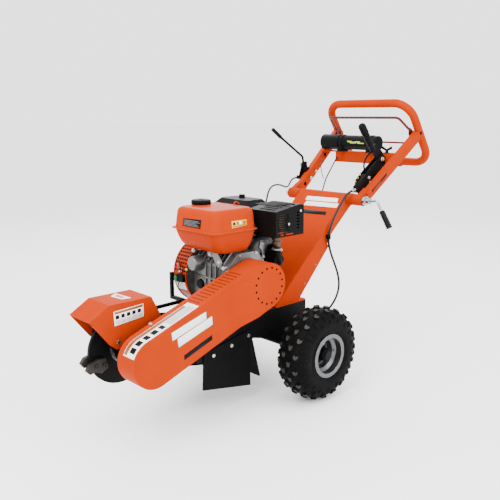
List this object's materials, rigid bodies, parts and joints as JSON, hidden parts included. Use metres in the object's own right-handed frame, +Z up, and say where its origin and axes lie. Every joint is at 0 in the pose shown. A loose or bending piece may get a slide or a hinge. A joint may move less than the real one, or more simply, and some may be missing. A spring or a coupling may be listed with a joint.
{
  "type": "stump grinder",
  "caption": "Walk-behind petrol stump grinder with a belt-driven toothed cutter disc under a hood, two balloon-tyred wheels, tilting handle with bail, brake and throttle levers.",
  "frame": {"origin": "bottom centre of the bounding box, on the ground plane under the tyres", "axes": "+Z up, -Y to the front where the cutter is, +X to the machine's left as its operator sees it"},
  "size_m": [0.734, 1.772, 1.203],
  "materials": {
    "orange_paint": "satin powder coat",
    "tank_paint": "gloss paint",
    "engine_orange": "gloss",
    "black_paint": "satin powder coat",
    "red_rod": "gloss paint",
    "tyre": "matt rubber",
    "rim_silver": "silver paint",
    "zinc": "zinc plated",
    "chrome": "polished",
    "steel": "machined",
    "tooth": "rough forged",
    "belt": "matt rubber",
    "flap": "matt rubber",
    "castings": "as cast",
    "cast_iron": "as cast",
    "black_plastic": "fine grain",
    "heat_black": "heat resistant black",
    "exhaust": "heat stained",
    "grip": "ribbed rubber",
    "cable_sheath": "smooth sheath",
    "switch": "gloss"
  },
  "bodies": {
    "chassis": {"base_frame": "black_paint", "front_arm": "black_paint", "column": "orange_paint", "pivot_shaft": "zinc", "axle": "zinc", "brake_caliper": "castings", "guard_cover": "orange_paint", "guard_back": "black_paint", "drive_belt": "belt", "cutter_bearings": "castings", "cutter_hood": "orange_paint", "side_flaps": "flap", "rear_flap": "flap", "guard_bar": "black_paint", "crankcase": "castings", "crankcase_cover": "castings", "cylinder": "heat_black", "valve_cover": "castings", "cylinder_shroud": "heat_black", "fan_housing": "engine_orange", "recoil_cover": "engine_orange", "fuel_tank": "tank_paint", "air_cleaner": "black_plastic", "carburettor": "castings", "muffler": "exhaust", "muffler_guard": "heat_black", "spark_plug_cap": "black_plastic", "brake_cable": "cable_sheath", "throttle_cable": "cable_sheath", "stop_wire": "cable_sheath", "bolts": "zinc"},
    "wheel_left": {"tyre_left": "tyre", "rim_left": "rim_silver", "brake_disc": "steel"},
    "wheel_right": {"tyre_right": "tyre", "rim_right": "rim_silver"},
    "cutter": {"cutter_shaft": "steel", "cutter_disc": "steel", "cutter_teeth": "tooth", "tooth_bolts": "zinc", "cutter_pulley": "cast_iron"},
    "clutch": {"clutch_drum": "steel"},
    "crank": {"crankshaft": "steel", "flywheel": "cast_iron"},
    "handle": {"handle_frame": "orange_paint", "handle_loop": "orange_paint", "canister": "black_plastic", "brake_bracket": "black_paint", "throttle_bracket": "black_paint"},
    "clamp": {"clamp_lever": "chrome", "clamp_grip": "grip"},
    "bail": {"bail": "red_rod"},
    "brake_lever": {"brake_lever": "black_paint"},
    "throttle_lever": {"throttle_lever": "black_paint"},
    "fuel_cap": {"fuel_cap": "black_plastic"},
    "canister_cap": {"canister_cap": "black_plastic"},
    "starter_grip": {"starter_grip": "grip"},
    "engine_switch": {"engine_switch": "switch"},
    "choke_lever": {"choke_lever": "black_plastic"},
    "fuel_valve": {"fuel_valve": "black_plastic"}
  },
  "joints": [
    {"name": "wheel_left_spin", "type": "hinge", "parent": "chassis", "child": "wheel_left", "pos_m": [0, 0.005, 0.19], "axis": [1, 0, 0], "continuous": true},
    {"name": "wheel_right_spin", "type": "hinge", "parent": "chassis", "child": "wheel_right", "pos_m": [0, 0.005, 0.19], "axis": [1, 0, 0], "continuous": true},
    {"name": "cutter_spin", "type": "hinge", "parent": "chassis", "child": "cutter", "pos_m": [0, -0.733, 0.314], "axis": [1, 0, 0], "continuous": true},
    {"name": "clutch_spin", "type": "hinge", "parent": "chassis", "child": "clutch", "pos_m": [0, -0.219, 0.496], "axis": [1, 0, 0], "continuous": true},
    {"name": "crank_spin", "type": "hinge", "parent": "chassis", "child": "crank", "pos_m": [0, -0.219, 0.496], "axis": [1, 0, 0], "continuous": true},
    {"name": "handle_tilt", "type": "hinge", "parent": "chassis", "child": "handle", "pos_m": [0, 0.387, 0.7655], "axis": [1, 0, 0], "range_deg": [-18, 22], "deforming": ["brake_cable", "throttle_cable", "stop_wire"]},
    {"name": "clamp_turn", "type": "hinge", "parent": "chassis", "child": "clamp", "pos_m": [0, 0.387, 0.7655], "axis": [1, 0, 0], "range_deg": [-10, 100]},
    {"name": "bail_squeeze", "type": "hinge", "parent": "handle", "child": "bail", "pos_m": [0, 0.75, 1.045], "axis": [1, 0, 0], "range_deg": [-16, 0], "stiffness_Nm_per_rad": 2, "springref_deg": 17.19},
    {"name": "brake_lever_pull", "type": "hinge", "parent": "handle", "child": "brake_lever", "pos_m": [0, 0.562, 0.936], "axis": [1, 0, 0], "range_deg": [-40, 0], "stiffness_Nm_per_rad": 1.5, "springref_deg": 17.19},
    {"name": "throttle_turn", "type": "hinge", "parent": "handle", "child": "throttle_lever", "pos_m": [0, 0.497, 0.892], "axis": [1, 0, 0], "range_deg": [-30, 30]},
    {"name": "fuel_cap_turn", "type": "hinge", "parent": "chassis", "child": "fuel_cap", "pos_m": [-0.066, -0.295, 0.7855], "axis": [0, 0, 1], "range_deg": [0, 90]},
    {"name": "canister_cap_pull", "type": "slide", "parent": "handle", "child": "canister_cap", "axis": [-1, 0, 0], "range_m": [0, 0.06]},
    {"name": "starter_pull", "type": "slide", "parent": "chassis", "child": "starter_grip", "axis": [0, 0.7071, 0.7071], "range_m": [0, 0.3], "stiffness_N_per_m": 20, "springref_m": -0.15},
    {"name": "engine_switch_rock", "type": "hinge", "parent": "chassis", "child": "engine_switch", "pos_m": [-0.159, -0.3572, 0.478], "axis": [1, 0, 0], "range_deg": [0, 12]},
    {"name": "choke_turn", "type": "hinge", "parent": "chassis", "child": "choke_lever", "pos_m": [-0.13, -0.055, 0.664], "axis": [1, 0, 0], "range_deg": [0, 45]},
    {"name": "fuel_valve_turn", "type": "hinge", "parent": "chassis", "child": "fuel_valve", "pos_m": [-0.13, -0.055, 0.616], "axis": [1, 0, 0], "range_deg": [0, 60]}
  ],
  "couplings": [
    {"joint": "clutch_spin", "follows": "cutter_spin", "ratio": 1.2414}
  ]
}
